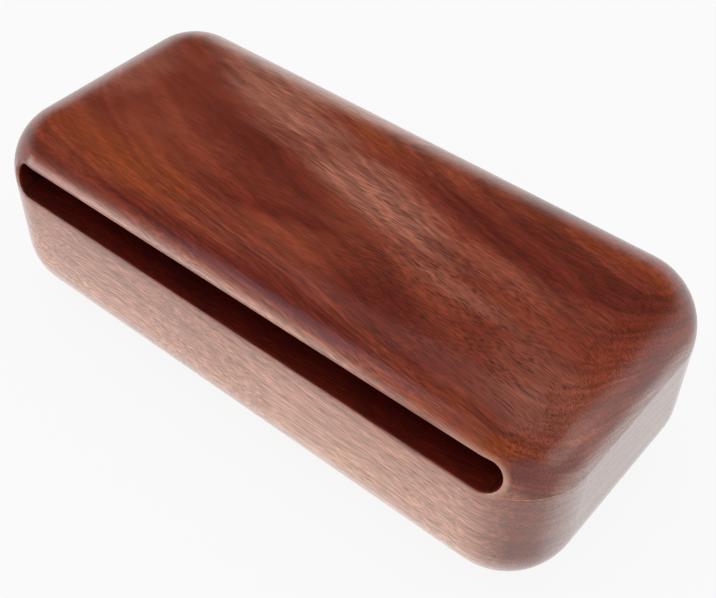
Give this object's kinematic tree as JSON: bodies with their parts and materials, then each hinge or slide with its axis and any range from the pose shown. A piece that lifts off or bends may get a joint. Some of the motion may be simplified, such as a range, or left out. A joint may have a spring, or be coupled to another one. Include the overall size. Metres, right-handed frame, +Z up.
{
  "type": "woodblock",
  "caption": "Hand percussion woodblock: a round-edged, glued-up hardwood block with a long blind slot along the front, struck on the lip above the slot.",
  "frame": {"origin": "centre of the flat underside that the block rests on", "axes": "+X along the block's length, +Y from the slotted front to the plain back, +Z up to the struck face"},
  "size_m": [0.19, 0.085, 0.062],
  "materials": {
    "lower_wood": "oiled reddish-brown hardwood with open pores, satin",
    "upper_wood": "oiled dark reddish-brown hardwood with figured grain, satin",
    "dried_glue": "thin dried wood glue, sanded flush"
  },
  "bodies": {
    "root": {"base_board": "lower_wood", "top_board": "upper_wood", "glue_line": "dried_glue"}
  },
  "joints": []
}
